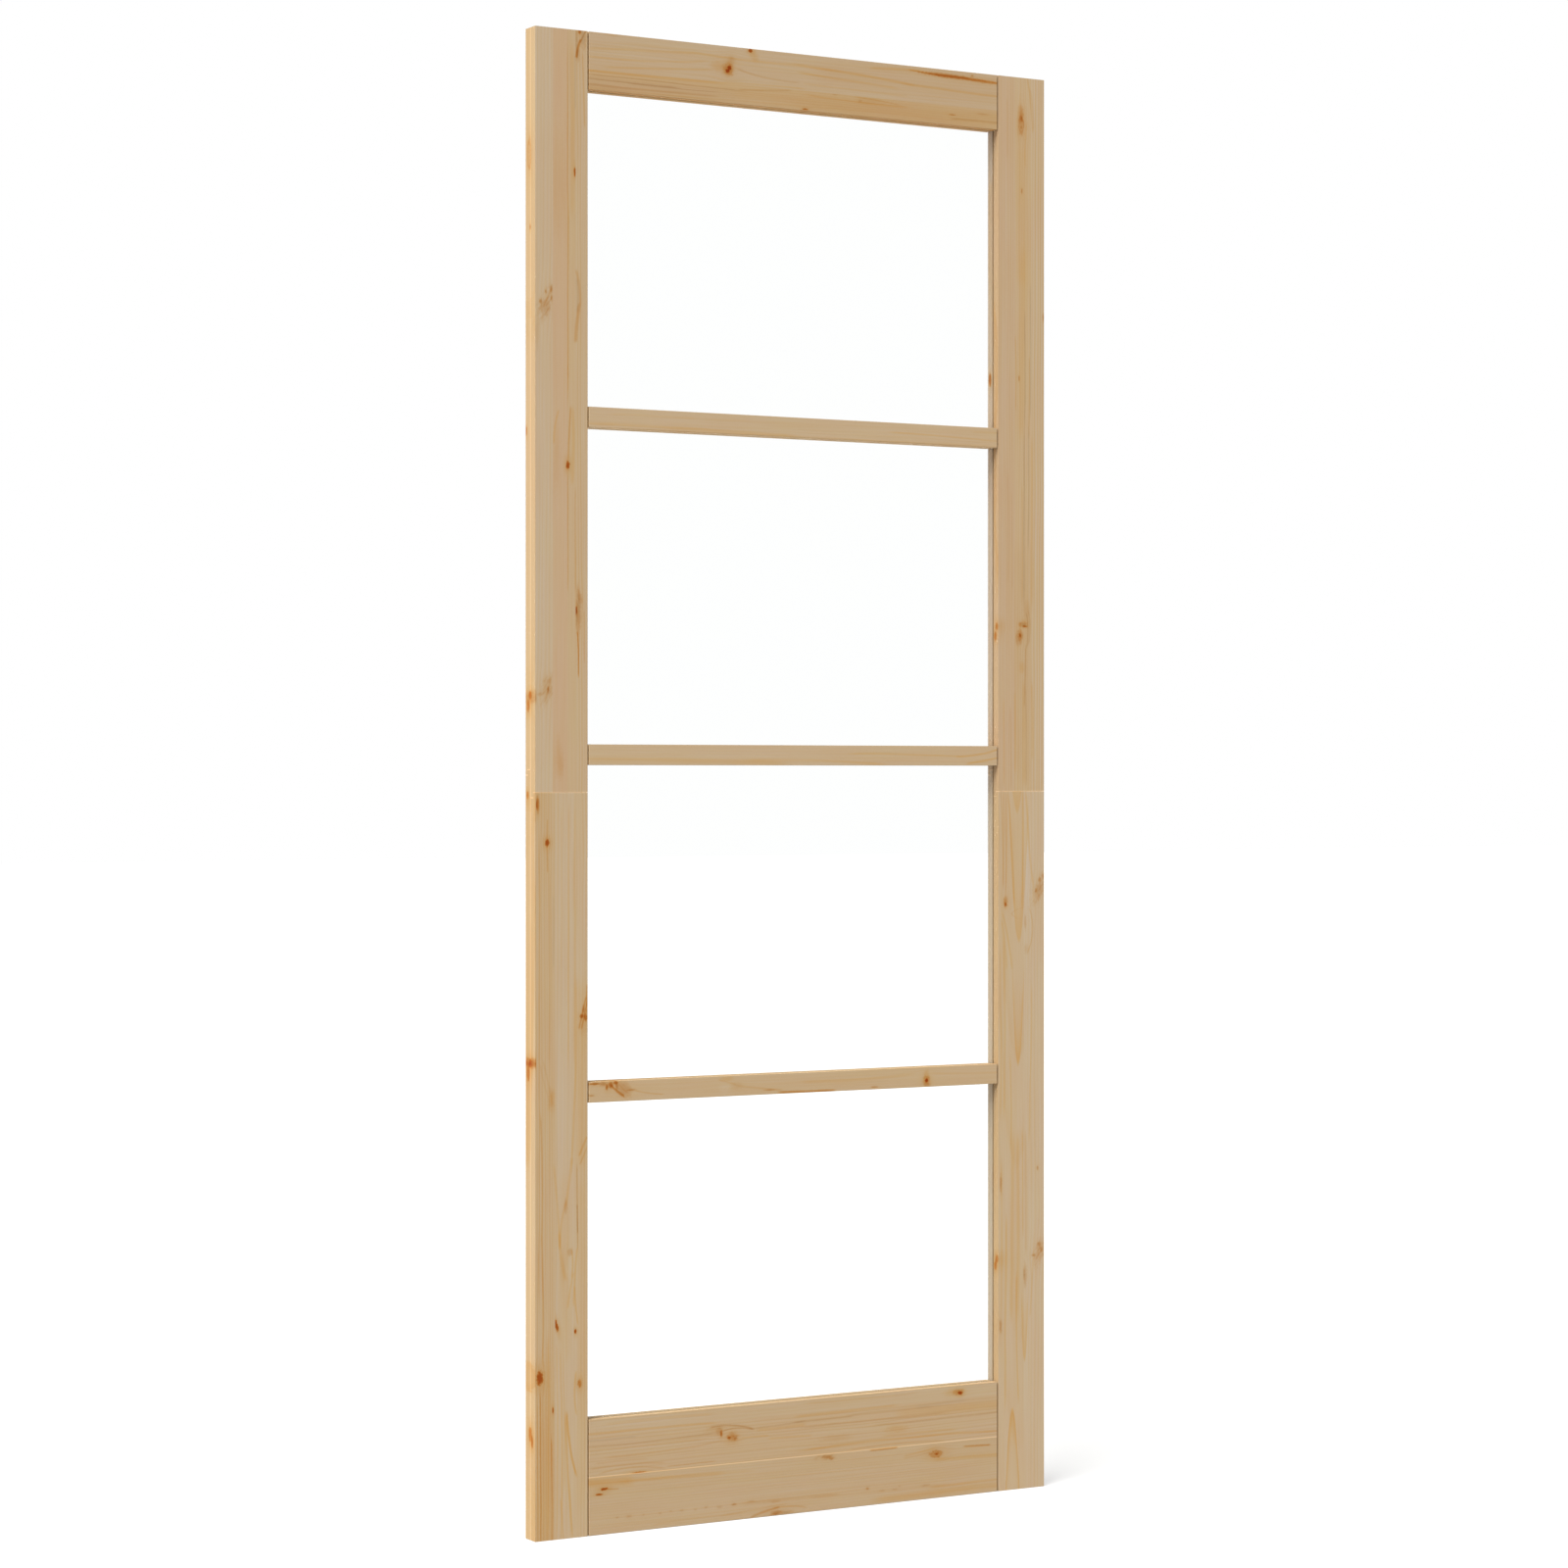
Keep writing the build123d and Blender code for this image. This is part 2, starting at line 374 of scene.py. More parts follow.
# The ten boards, with the strips and marks that show in the photograph
BOARDS = {}
# Each board's edge values paint light and shade on one of its edges, as well as resin
BOARDS["left_stile_upper"] = Board(
    Strip(27.3, 0.045, 0.16, 5.2, (-90, 4), (4, 0), 5, shade=0.022),
    Strip(50.3, 0.23, 0.03, 9, (30, 95), (0, 12), 14, shade=0.005, blush=0.035),
    Strip(63, 0.23, 0.24, 4.6, (190, 10), (2, 0), 6, shade=0.015),
    Strip(82, 0.16, 0.38, 3.8, (170, 10), (-3, 0), 9, shade=0.025),
    TINGE(35, 1895, 10, 62),
    PIN(61.7, 1902, 1.5, 6),
    ASH(63.4, 2084, 3.2, 22),
    ASH(66.5, 2066, 2.4, 9),
    ASH(75, 2090, 5, 14),
    CHAR(69, 2098, 2.2, 3),
    FEATHER(17, 1716, 9, 20, lean=0.4),
    FLECK(16.3, 1733, 1.7, 3),
    FLECK(25, 1737, 2, 5),
    FLECK(25, 1724, 1.5, 4),
    FLECK(8.3, 1719, 2.2, 3.5),
    RUST(15, 1711, 8, 9),
    BLUSH(3, 1675, 2.5, 18),
    DARK(50.7, 1493, 2.6, 5.6, cut=False),
    TINGE(33, 1505, 6, 45),
    DARK(63.6, 1291, 1.4, 5),
    ASH(64.6, 1284, 2.4, 18),
    ASH(68, 1297, 3.6, 26, lean=-0.06),
    BLUSH(67, 1272, 3, 16),
    RUST(69.5, 1310, 3.2, 9, lean=-0.2),
    FEATHER(18, 1180, 8, 17, lean=0.3),
    BLUSH(17, 1183, 7, 14),
    DOT(21, 1193, 3.5, 3.5),
    FLECK(19.8, 1181, 1.4, 4),
    DOT(7, 1174, 4, 2),
    FLECK(0.8, 1170, 1, 9),
    TINGE(36, 1100, 3, 16),
    TINGE(39, 1075, 4, 12),
    TINGE(36.5, 1078, 7, 18),
    EYE(0, 1925, 6, 20, 3.6, 5),
    PIN(0, 1823, 6, 3, 0.6, 1),
    ORANGE(0, 1541, 6, 6, 12.6, 2),
    ORANGE(0, 1173, 6, 5, 0.6, 4),
    ORANGE(0, 1158, 6, 7, 6.6, 4),
    Vein((50.4, 1310), (50.8, 1400), (51, 1490), 1.3, 0.2, 0.35),
    Vein((50.4, 1560), (50.8, 1800), (50.2, 2095), 1.5, 0.3, 0.35),
    Vein((57.5, 1830), (58.5, 1960), (57, 2090), 5.5, 0.22),
    Vein((64.4, 2060), (66.4, 2075), (71.5, 2089), 3, 0.3, 0.75, 0.04),
    Vein((69.5, 2082), (74, 2091), (80.5, 2102), 2.2, 0, 0.45, 0.05),
    Vein((62, 1985), (62.4, 2020), (61.8, 2070), 2, 0, 0, 0.06),
    Vein((77.6, 1960), (76, 2010), (74, 2075), 1.7, 0.2, 0.25),
    Vein((11, 1709), (18, 1722), (26, 1739), 2.8, 0, 0.36),
    Vein((15, 1162), (19.5, 1178), (24.5, 1197), 2.4, 0, 0.22),
    Vein((62.4, 1662), (65.4, 1693), (69.8, 1722), 4, 0.15, 0.38),
    Vein((69.8, 1714), (68.8, 1742), (63, 1768), 3.2, 0.05, 0.3),
    Vein((66, 1704), (66.6, 1730), (65, 1756), 4, 0, 0.06, 0.06),
    Vein((28.5, 1520), (30, 1545), (37, 1572), 2.2, 0.3),
    Vein((51.2, 1497), (52.6, 1535), (55.5, 1578), 1.6, 0.25, 0.4),
    Vein((57, 1462), (59, 1520), (57.5, 1580), 4, 0.28),
    Vein((62.6, 1310), (62.4, 1380), (62.8, 1470), 1.4, 0.1, 0.25),
    Vein((67.2, 1196), (67.4, 1232), (65.6, 1266), 1.5, 0.5, 0.7),
    Vein((77.5, 1215), (77, 1250), (76.6, 1295), 1.5, 0.1, 0.22),
    front_edge=(0.3, -0.03), back_edge=(0.3, -0.03),
)
BOARDS["left_stile_lower"] = Board(
    Strip(30.8, 0.24, 0.36, 4, (150, 6), (-4, 0), 5, shade=0.015),
    Strip(60, 0.07, 0.18, 6, (-110, 14), (6, 0), 9, shade=0.018),
    Strip(82, 0.15, 0.24, 5, (190, 20), (0, 8), 12, shade=0.014),
    ORANGE(4, 1021, 2, 9),
    CHAR(2.4, 1022, 1, 7),
    DARK(18.5, 968, 3, 4.4),
    TINGE(26, 605, 4, 12),
    TINGE(24, 621, 4, 6),
    BLUSH(74, 711, 5.5, 10),
    STAIN(25, 611, 4, 11, lean=0.3),
    CHAR(78.6, 724, 2.4, 4.5),
    CHAR(72.5, 726, 3, 2.6),
    FLECK(75.5, 735, 2.2, 6),
    DARK(7, 226, 4.6, 8.6),
    DARK(33, 297, 2.2, 7, lean=-0.25),
    DARK(62.5, 287, 1.7, 3),
    ORANGE(69, 214, 2.8, 5),
    PIN(27.5, 180, 1.1, 4),
    TINGE(43.6, 376, 4.2, 20),
    RUST(54.5, 398, 4, 5),
    RUST(47.5, 462, 2.5, 10),
    PALE(52, 376, 3.6, 15, lean=0.06),
    STAIN(16, 80, 14, 130),
    CHAR(0.5, 662, 0.8, 6),
    ORANGE(0, 1034, 6, 5, 8.4, 3),
    ORANGE(0, 662, 6, 5, 0.6, 4),
    ORANGE(0, 647, 6, 8, 6.6, 4),
    ORANGE(0, 147, 6, 9, 0.6, 4),
    ORANGE(0, 137, 6, 8, -5.4, 3),
    Vein((19, 925), (18.6, 950), (18.4, 966), 1.3, 0.3, 0.4),
    Vein((18.4, 970), (18.5, 985), (18.8, 1002), 1.3, 0.3, 0.35),
    Vein((5.6, 300), (6.4, 700), (6, 1010), 1.5, 0.2, 0.25),
    Vein((22, 640), (23, 780), (22, 940), 2, 0.1, 0.08),
    Vein((28, 790), (28.4, 840), (27.6, 900), 2.2, 0, 0, 0.08),
    Vein((29, 596), (22, 626), (12, 668), 2.2, 0.03, 0.13),
    Vein((24, 604), (15, 630), (7, 664), 1.8, 0, 0.12),
    Vein((52, 640), (51.5, 840), (52.5, 1038), 1.9, 0.32),
    Vein((60.5, 640), (61.5, 800), (61, 1038), 1.8, 0.28),
    Vein((40.5, 780), (41, 900), (40, 1030), 1.6, 0.12),
    Vein((55, 505), (60, 580), (63, 790), 2.6, 0.36),
    Vein((71, 500), (72, 640), (73, 790), 12, 0.2),
    Vein((9, 400), (11, 470), (7, 600), 1.9, 0.2, 0.3),
    Vein((68, 706), (72.4, 728), (80, 756), 2.2, 0.2, 0.6),
    Vein((71.5, 706), (75.5, 725), (81, 748), 1.9, 0.2, 0.5),
    Vein((79.2, 728), (79.8, 745), (80.8, 772), 1.8, 0.2, 0.7),
    Vein((68, 530), (73.5, 543), (82, 560), 2.6, 0.2, 0.2),
    Vein((69, 518), (74.5, 530), (82, 546), 1.8, 0.1, 0.22),
    Vein((38, 398), (36, 445), (28, 525), 2.6, 0.3),
    Vein((38.5, 400), (41, 438), (49, 470), 2.6, 0.26),
    Vein((47, 458), (52.5, 490), (57.5, 532), 3.4, 0.36),
    Vein((48.5, 356), (41.5, 384), (37.5, 430), 4.2, 0.24),
    Vein((56, 360), (58, 385), (56, 404), 1.8, 0.36),
    Vein((65.6, 395), (65.4, 445), (65, 525), 1.7, 0.1, 0.3, 0.05),
    Vein((65.2, 422), (65.4, 440), (65, 466), 1.7, 0, 0.35, 0.1),
    Vein((59.5, 318), (61, 360), (65.4, 408), 2.4, 0.36),
    Vein((66.5, 294), (63.5, 318), (61, 352), 1.9, 0.45),
    Vein((50, 318), (54, 345), (60, 372), 2.2, 0.3),
    Vein((44, 230), (46, 330), (45, 520), 14, 0.11),
    Vein((72, 20), (73, 250), (72, 520), 11, 0.14),
    Vein((8, -20), (8.6, 100), (7.6, 216), 1.7, 0.2, 0.6),
    Vein((3, -20), (3.4, 100), (2.6, 200), 1.5, 0.1, 0.25),
    Vein((11, 236), (12.5, 330), (10, 430), 1.8, 0.2, 0.25),
    Vein((26, -20), (26.6, 70), (25.4, 150), 1.7, 0.2, 0.45),
    Vein((19, -20), (21, 120), (20, 300), 2.2, 0.3),
    Vein((65, 82), (55, 122), (49, 180), 2.6, 0.78),
    Vein((58.5, -8), (52, 70), (46.5, 180), 2.4, 0.44),
    Vein((64.5, 168), (61.5, 200), (64.5, 234), 2.2, 0.45),
    Vein((40, -20), (41.5, 120), (38.5, 270), 2.2, 0.34),
    Vein((45.5, -20), (42, 30), (39, 60), 2, 0.3),
    Vein((33, -20), (34.5, 130), (33, 290), 2, 0.32),
    Vein((45, 60), (45.5, 150), (43.5, 260), 1.8, 0.25),
    front_edge=(0.05, -0.01), back_edge=(0.05, -0.01),
)
BOARDS["right_stile_upper"] = Board(
    Strip(30, 0.18, 0.38, 3.8, (161, 8), (3, 0), 6, shade=0.018, blush=0.024),
    Strip(59, 0.22, 0.2, 4.2, (171, 10), (4, 0), 8),
    Strip(82, 0.08, 0.5, 4.4, (-69, 12), (4, 0), 6, shade=0.01),
    BLUSH(41, 2034, 5.5, 20),
    OCHRE(41, 2044, 3.4, 11),
    FLECK(41, 2040, 1.6, 4),
    FLECK(41, 2026, 1.3, 2.6),
    EYE(41, 2029, 4.4, 12),
    FLECK(42, 1931, 1.4, 4),
    FLECK(80.4, 1745, 1.4, 6),
    FLECK(37, 1652, 1.4, 4),
    CHAR(39, 1270, 1.5, 2.6),
    OCHRE(39, 1270, 4, 7),
    RUST(36, 1265, 6.5, 9),
    OCHRE(39, 1286, 2.4, 3),
    CHAR(47, 1283.5, 4, 1.4),
    ASH(46, 1286, 6, 4),
    STAIN(47, 1288, 6, 5),
    BLUSH(51, 1308, 5, 12),
    STAIN(42, 1222, 4, 8),
    ORANGE(0, 1283, 6, 5, -11, 3),
    ORANGE(0, 1268, 6, 6, -7, 3),
    PIN(0, 1650, 6, 8, 9, 3),
    Vein((61.5, 2016), (58.5, 2055), (51, 2104), 2, 0.15, 0.2),
    Vein((63.5, 2020), (62, 2050), (56, 2088), 1.7, 0.1, 0.16),
    Vein((16, 1975), (17, 2020), (15.5, 2070), 2.2, 0, 0.12),
    Vein((49, 1965), (48, 2000), (51.5, 2035), 2, 0.28),
    Vein((41, 1780), (41, 1900), (42, 2010), 13, 0.15),
    Vein((41.5, 1550), (42, 1690), (45, 1860), 8.5, 0.19),
    Vein((44, 1030), (44, 1170), (44, 1420), 24, 0, 0.06, 0.02),
    Vein((47.2, 1572), (47.4, 1660), (47, 1760), 1.5, 0, 0.1, 0.13),
    Vein((57.2, 1590), (57.6, 1690), (57, 1800), 1.5, 0, 0, 0.13),
    Vein((31, 1600), (31.4, 1660), (30.6, 1720), 1.5, 0.2, 0.15),
    Vein((54.8, 1560), (55.2, 1620), (54.8, 1690), 1.5, 0.15, 0.2, 0.04),
    Vein((45.6, 1306), (46, 1450), (46.6, 1590), 1.8, 0.05, 0.12, 0.15),
    Vein((53.6, 1390), (54.2, 1490), (54, 1590), 1.6, 0, 0.04, 0.13),
    Vein((42, 1310), (42.6, 1400), (42, 1500), 2, 0.1, 0.12),
    Vein((59.5, 1300), (60.5, 1430), (60, 1580), 3.5, 0.24),
    Vein((17, 1340), (18.5, 1430), (16.5, 1520), 3.2, -0.04, 0.16),
    Vein((24, 1330), (25, 1420), (23, 1490), 2.2, -0.04, 0.16),
    Vein((46, 1160), (48, 1205), (49, 1258), 1.8, 0.1, 0.22, 0.06),
    Vein((49.5, 1040), (49.8, 1110), (49.2, 1200), 1.6, 0.05, 0.16, 0.05),
    Vein((45.5, 1040), (45.5, 1120), (44.5, 1210), 4, 0.22),
    Vein((50, 1248), (53, 1275), (49.5, 1306), 1.7, 0.05, 0.24, 0.08),
    Vein((53.5, 1254), (56.5, 1280), (53, 1310), 1.6, 0.05, 0.18, 0.05),
    Vein((60, 1080), (61, 1140), (60, 1205), 2.4, 0.28),
    Vein((29.5, 1060), (30.5, 1130), (29, 1190), 3, 0.22),
    Vein((9.5, 1040), (10.5, 1120), (9, 1180), 2.4, 0.22),
    Vein((22, 1040), (22.6, 1110), (21.6, 1170), 2.4, -0.04, 0.16),
    front_edge=(0.16, 0.1), back_edge=(-0.32, 0.01),
)
BOARDS["right_stile_lower"] = Board(
    Strip(45.6, 0.14, 0.12, 5, (34, 90), (2, -23.7), 6),
    Strip(82, 0.04, 0.16, 5, (150, 24), (0, 0), 7),
    CHAR(12.8, 870, 1.7, 3),
    OCHRE(13, 874, 3.2, 7),
    RUST(48.2, 842, 2, 10),
    BLUSH(50, 803, 3.5, 6),
    FEATHER(74, 893, 8, 20, lean=0.4),
    RUST(73, 889, 6.5, 12, lean=0.35),
    FLECK(67, 890, 2, 3),
    FLECK(74, 906, 2.2, 3.4),
    FLECK(80, 911, 1.6, 4),
    FLECK(70, 476, 1.5, 3),
    FLECK(4.5, 456, 1.8, 13),
    FLECK(4, 244, 2, 10),
    FEATHER(74, 352, 8, 18, lean=0.4),
    BLUSH(75, 352, 7, 14, lean=0.3),
    FLECK(76.5, 354, 2, 3.4),
    FLECK(73, 362, 3, 3.5),
    FLECK(63, 346, 3.4, 2),
    RUST(47.4, 317, 4, 16),
    ASH(45.8, 318, 1.4, 9, cut=False),
    PALE(51, 915, 5, 50),
    ORANGE(0, 344, 6, 5, -11, 3),
    ORANGE(0, 334, 6, 6, -7, 3),
    Vein((13.5, 876), (15, 950), (14.5, 1046), 1.6, 0.15, 0.22),
    Vein((9.4, 890), (9.8, 950), (8.6, 1046), 1.7, 0.25, 0.22),
    Vein((29, 858), (25.5, 930), (17, 1046), 1.9, 0.3, 0.08),
    Vein((42.6, 855), (43.6, 940), (44, 1046), 1.9, 0.34, 0.06),
    Vein((63, 890), (55.5, 955), (49, 1046), 2.4, 0.3),
    Vein((46.4, 846), (49, 866), (54, 867), 1.6, 0.1, 0.2),
    Vein((49.5, 793), (61.5, 832), (53, 868), 1.7, 0.1, 0.2),
    Vein((54.5, 505), (57.5, 620), (60, 760), 1.8, 0.28),
    Vein((24.5, 770), (16, 822), (6, 862), 2.4, 0.3),
    Vein((14.5, 770), (10.5, 815), (5, 850), 2.2, 0.25),
    Vein((9.5, 888), (8.4, 935), (4.5, 1050), 1.7, 0.08, 0.28),
    Vein((14, 888), (13.6, 960), (10.5, 1050), 1.5, 0.08, 0.2),
    Vein((3, 540), (4.5, 680), (3, 820), 2.4, 0.28),
    Vein((9, 540), (11, 690), (9, 830), 2.4, 0.26),
    Vein((22, 500), (22.5, 580), (21, 650), 1.9, 0.34),
    Vein((23, 240), (25, 400), (26, 540), 4.5, 0.26),
    Vein((33, 240), (35.5, 400), (34, 540), 4.5, 0.26),
    Vein((44, 370), (44, 450), (43, 540), 1.7, 0.3, 0.06),
    Vein((12, 110), (12.5, 260), (15, 420), 2.4, 0.36),
    Vein((36.5, 120), (33, 200), (33, 330), 2.2, 0.36),
    Vein((5, 250), (6, 380), (5, 500), 2.4, 0.26),
    Vein((48.5, 340), (49, 440), (48, 540), 3.6, 0.05, 0.16),
    Vein((56, 250), (60, 300), (62, 345), 1.9, 0.26),
    Flame(36.5, 815, 0.65, 40, 230, 0.4),
    Flame(36.5, 815, 0.65, 300, 230, 0.1),
    Flame(33.5, 1007, 0.5, 60, 200, 0.4),
    Flame(35.8, 632, 1.1, 38, 140, 0.38),
    Flame(35.6, 632, 1.2, 16, 190, 0.42),
    Flame(25.2, 119, 0.8, 26, 200, 0.92, way=-1),
    Flame(46.8, 190, 2.2, 45, 110, 0.6),
    front_edge=(0.24, 0.11), back_edge=(-0.32, 0.01),
)
BOARDS["top_rail"] = Board(
    Strip(28.6, 0.42, 0.22, 3.4, (140, 12), (6, 0), 8, shade=0.03, grey=0.02),
    Strip(81, 0.17, 0.12, 5, (170, 12), (8, 0), 12, shade=0.055, blush=0.008),
    CHAR(71.9, 682, 2.5, 44, lean=-0.02),
    OCHRE(69.4, 744, 2.2, 22, lean=-0.02),
    DARK(50.6, 309.2, 3.2, 2.6),
    DARK(45.8, 306.4, 2.6, 3),
    OCHRE(49, 307, 8, 8),
    BLUSH(61, 313, 6, 5),
    TINGE(63, 312, 3, 4),
    STAIN(51, 290, 6, 10),
    DARK(78, 344, 2.4, 3),
    STAIN(71, 350, 7, 6, lean=-0.4),
    CHAR(2.2, 435, 1.4, 4),
    TINGE(23, 545, 4, 20),
    TINGE(79.5, 120, 2, 10),
    DOT(22.5, 528, 2, 3),
    DOT(28, 485, 1.4, 4),
    FLECK(15.5, 687, 1.2, 5),
    DOT(21, 740, 1.6, 9),
    FLECK(76, 722, 1.4, 2.5),
    TINGE(12, 580, 13, 170),
    Vein((57, 70), (62.5, 180), (66.5, 265), 2.6, 0.32),
    Vein((66.5, 240), (64.5, 310), (65, 440), 2.4, 0.3),
    Vein((65, 410), (59.5, 535), (52.5, 630), 3, 0.4),
    Vein((54, 595), (51, 690), (49, 790), 2.8, 0.32),
    Vein((46.5, 70), (48.5, 180), (57.5, 280), 2.3, 0.26),
    Vein((33, 100), (39.5, 200), (46, 290), 2.3, 0.26),
    Vein((52, 315), (44.5, 350), (40, 430), 2, 0.1, 0.2, 0.03),
    Vein((40, 420), (37.5, 500), (36, 620), 2, 0.18),
    Vein((54.5, 415), (50, 510), (46, 600), 2.4, 0.3),
    Vein((52, 430), (52, 620), (52, 860), 28, 0, 0.08),
    Vein((27, 60), (27, 190), (28, 310), 2.6, 0.34),
    Vein((28, 290), (30.5, 350), (31, 440), 2.2, 0.25),
    Vein((21, 70), (20.6, 210), (18.5, 345), 1.5, 0, 0.22, 0.08),
    Vein((15.5, 70), (15, 150), (15.2, 235), 1.5, 0, 0.28, 0.1),
    Vein((14, 140), (13.6, 220), (14.2, 300), 1.3, 0, 0.2, 0.08),
    Vein((7.2, 60), (7.4, 180), (8, 300), 2.6, -0.1, 0.36, 0.03),
    Vein((11, 20), (11, 190), (9, 340), 13, -0.2, 0.18),
    Vein((2, 60), (2.4, 180), (2, 300), 1.6, 0, 0.14, 0.03),
    Vein((20, 320), (23, 365), (27, 415), 1.8, 0.1, 0.16, 0.05),
    Vein((23.5, 430), (20.5, 500), (21, 620), 1.8, 0.22, 0.06),
    Vein((26.5, 515), (25.5, 550), (22, 600), 1.6, 0.1, 0.18),
    Vein((8.8, 680), (10, 730), (9.6, 780), 2, 0.1, 0.2, 0.06),
    Vein((75.4, 606), (72.6, 650), (71.8, 720), 1.7, 0.45, 0.4),
    Vein((70.8, 705), (69.8, 742), (68.4, 790), 2.8, 0.5, 0.25),
    Vein((71, 540), (74, 590), (75.5, 640), 3, 0.22),
    front_edge=(0.72, -0.19), back_edge=(0.45, -0.14),
)
BOARDS["upper_glazing_bar"] = Board(
    Strip(29, 0.18, 0.08, 4.8, (150, 12), (4, 0), 12, shade=0.01),
    Vein((5.5, 60), (5.5, 200), (1, 440), 3.4, 0.26),
    Vein((20, 110), (20.6, 190), (20, 260), 2.4, 0.12),
    Vein((15, 570), (13.4, 660), (8.6, 785), 1.9, 0.26),
    Vein((0.8, 90), (1, 420), (0.6, 780), 1.4, 0, 0.26),
    Vein((21.5, 720), (21.5, 750), (21, 790), 2, 0.14),
    front_edge=(0.1, -0.36), back_edge=(0.1, -0.2),
)
BOARDS["middle_glazing_bar"] = Board(
    Strip(29, 0.17, 0.08, 4.4, (150, 12), (-4, 0), 12, shade=0.01),
    Vein((7, 60), (7.5, 180), (2, 420), 5, 0.24),
    Vein((7, 330), (7.6, 425), (1, 580), 2.8, 0.24),
    Vein((17.5, 500), (16, 610), (13, 712), 2, 0.28),
    Vein((13.2, 690), (15.5, 725), (26, 774), 2.2, 0.42),
    Vein((2, 708), (6.5, 738), (15, 780), 2.4, 0.42),
    front_edge=(0.17, -0.12), back_edge=(0.1, -0.12),
)
BOARDS["lower_glazing_bar"] = Board(
    Strip(29, 0.23, 0.08, 4.6, (150, 12), (3, 0), 12, shade=0.018),
    RUST(16, 139, 10, 11, lean=-0.3),
    TINGE(18, 139, 10, 9, lean=-0.3),
    FLECK(22, 128, 5, 2, lean=-0.3),
    CHAR(26, 92, 1.5, 8),
    CHAR(26.5, 126, 2.2, 3.4),
    CHAR(23.5, 118, 4, 3.4),
    CHAR(21, 112, 3.5, 1.8),
    FLECK(25.5, 106, 3, 5),
    FLECK(10, 88, 1.2, 4),
    FLECK(15.5, 151, 1.3, 7),
    PALE(11, 302, 7, 9),
    STAIN(25, 305, 3, 9),
    BLUSH(14.5, 321, 4, 8),
    FLECK(6.4, 376, 1.1, 9),
    DARK(9.5, 642, 2.8, 2.6),
    OCHRE(9, 642, 6, 5),
    STAIN(18, 642, 7, 4.5),
    RUST(3.5, 643, 2.5, 6),
    FLECK(3.4, 552, 1.2, 5),
    Vein((25, 117), (16.5, 126), (6.5, 141), 3.4, 0.2, 0.95),
    Vein((26, 130), (19, 136), (11, 146), 1.8, 0, 0.3),
    Vein((14.5, 154), (11, 172), (7, 205), 1.4, 0.1, 0.24),
    Vein((14, 318), (10.5, 350), (4.5, 400), 2.2, 0.05, 0.2),
    Vein((2.4, 386), (2, 430), (1.6, 490), 2.2, 0.2, 0.9),
    Vein((24, 290), (20, 306), (15, 322), 1.7, 0.1, 0.14),
    Vein((16, 420), (15.5, 520), (20, 630), 3.4, 0.18),
    Vein((20, 645), (17.5, 700), (16.5, 785), 2.6, 0.16),
    front_edge=(0.17, -0.23), back_edge=(0.1, -0.15), side=1,
)
